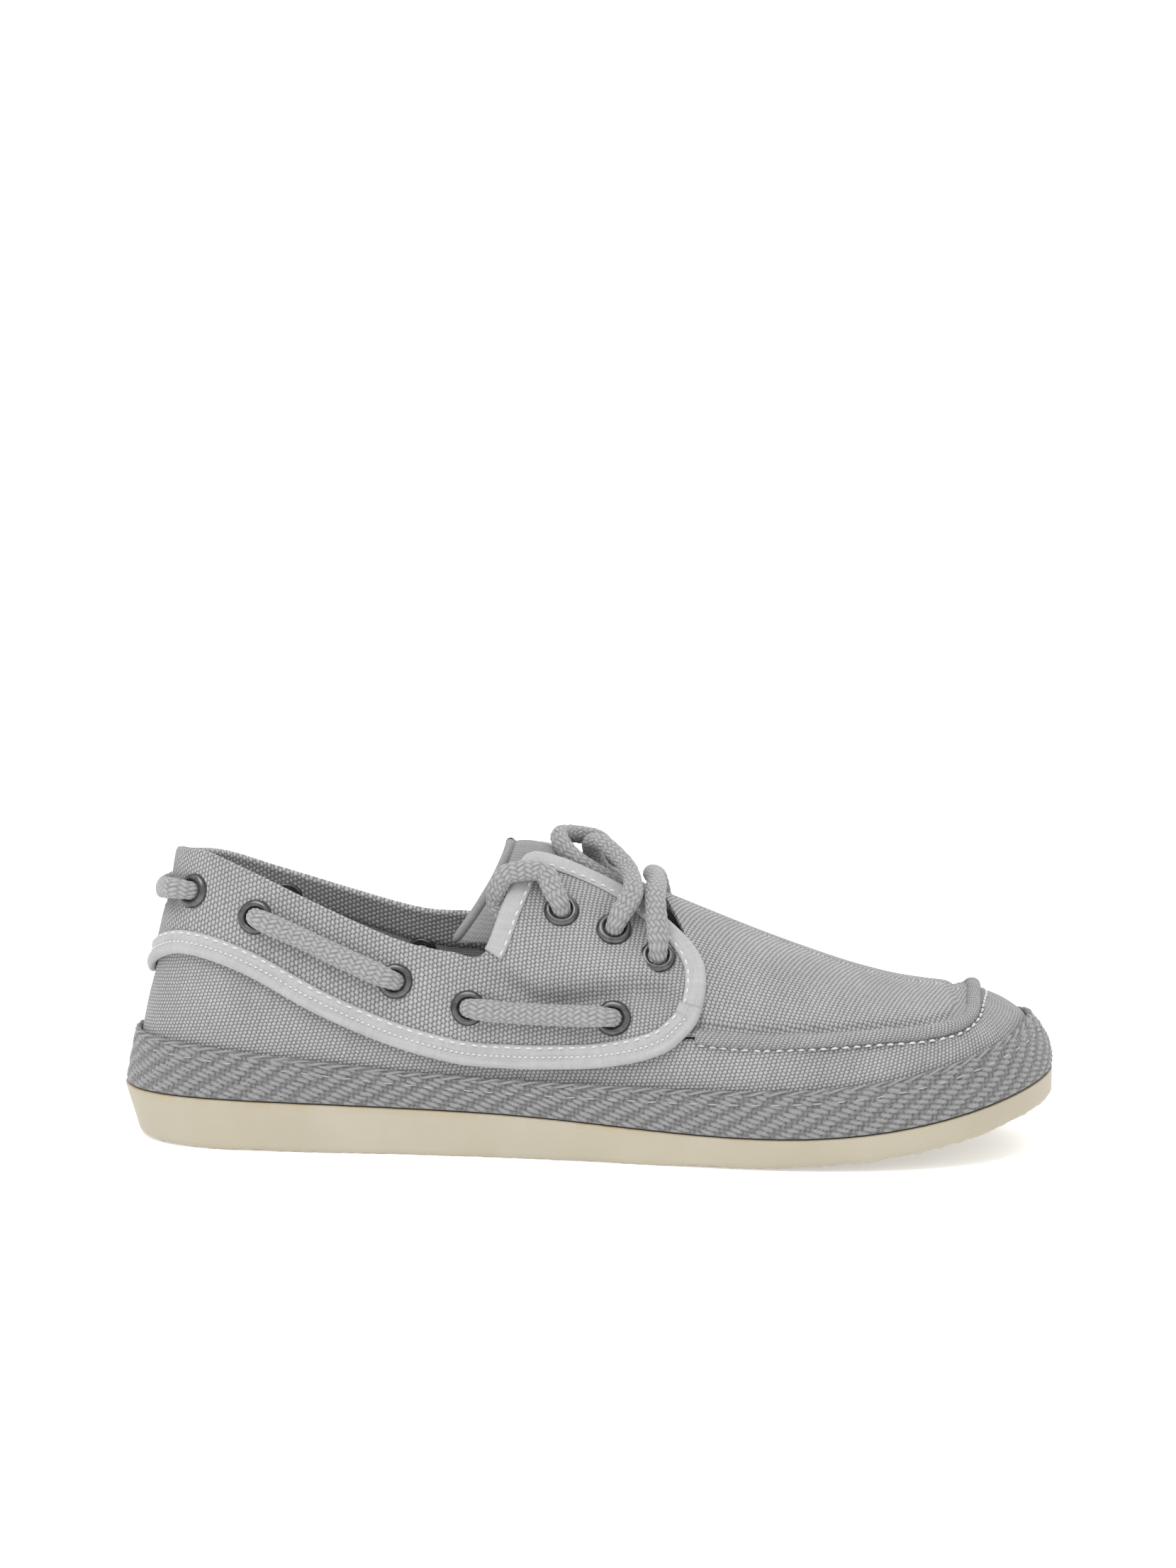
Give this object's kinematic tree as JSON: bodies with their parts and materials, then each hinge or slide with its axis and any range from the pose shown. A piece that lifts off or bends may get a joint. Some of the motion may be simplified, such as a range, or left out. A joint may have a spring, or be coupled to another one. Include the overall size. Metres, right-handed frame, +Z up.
{
  "type": "deck shoe",
  "caption": "Right-foot canvas deck shoe: moulded rubber sole, woven foxing tape, moccasin apron, laced collar, flapped throat, eyelets and a hinged tongue.",
  "frame": {"origin": "on the ground, under the centre of the outsole's bounding box", "axes": "+X to the toe, +Z up, -Y to the outer side of a right foot"},
  "size_m": [0.285, 0.0978, 0.0952],
  "materials": {
    "sole_rubber": "matt cream moulded rubber, slightly rough",
    "fibre_board": "pressed cellulose fibre board",
    "foam": "matt closed-cell foam",
    "stiffener": "thermoplastic stiffener sheet",
    "foxing_weave": "coarse herringbone woven tape, darker grey, pale stitches",
    "canvas": "grey duck canvas, basket weave about 1.4 mm",
    "binding_tape": "fine pale grey folded tape with stitch rows",
    "lining": "fine-weave grey textile",
    "eyelet_metal": "gunmetal, satin",
    "lace": "braided cotton, matt grey",
    "aglet_plastic": "clear-grey wound plastic tip"
  },
  "bodies": {
    "shoe": {"outsole": "sole_rubber", "insole_board": "fibre_board", "foam_footbed": "foam", "sock_liner": "lining", "foxing_tape": "foxing_weave", "side_wall": "canvas", "heel_counter": "stiffener", "toe_puff": "stiffener", "apron": "canvas", "apron_piping": "canvas", "vamp_lining": "lining", "quarter_lateral": "canvas", "lower_binding_lateral": "binding_tape", "flap_binding_lateral": "binding_tape", "collar_lining_lateral": "lining", "eyelet_lateral_1": "eyelet_metal", "eyelet_lateral_2": "eyelet_metal", "eyelet_lateral_3": "eyelet_metal", "eyelet_lateral_4": "eyelet_metal", "eyelet_lateral_5": "eyelet_metal", "eyelet_lateral_6": "eyelet_metal", "eyelet_lateral_7": "eyelet_metal", "eyelet_lateral_8": "eyelet_metal", "quarter_medial": "canvas", "lower_binding_medial": "binding_tape", "flap_binding_medial": "binding_tape", "collar_lining_medial": "lining", "eyelet_medial_1": "eyelet_metal", "eyelet_medial_2": "eyelet_metal", "eyelet_medial_3": "eyelet_metal", "eyelet_medial_4": "eyelet_metal", "eyelet_medial_5": "eyelet_metal", "eyelet_medial_6": "eyelet_metal", "eyelet_medial_7": "eyelet_metal", "eyelet_medial_8": "eyelet_metal", "collar_lace": "lace", "front_lace": "lace", "aglet_outer": "aglet_plastic", "aglet_inner": "aglet_plastic"},
    "tongue": {"tongue": "canvas", "tongue_edge_roll": "binding_tape"}
  },
  "joints": [
    {"name": "tongue_hinge", "type": "hinge", "parent": "shoe", "child": "tongue", "pos_m": [0.027, 0, 0.062], "axis": [0, -1, 0], "range_deg": [0, 20], "stiffness_Nm_per_rad": 0.15}
  ]
}
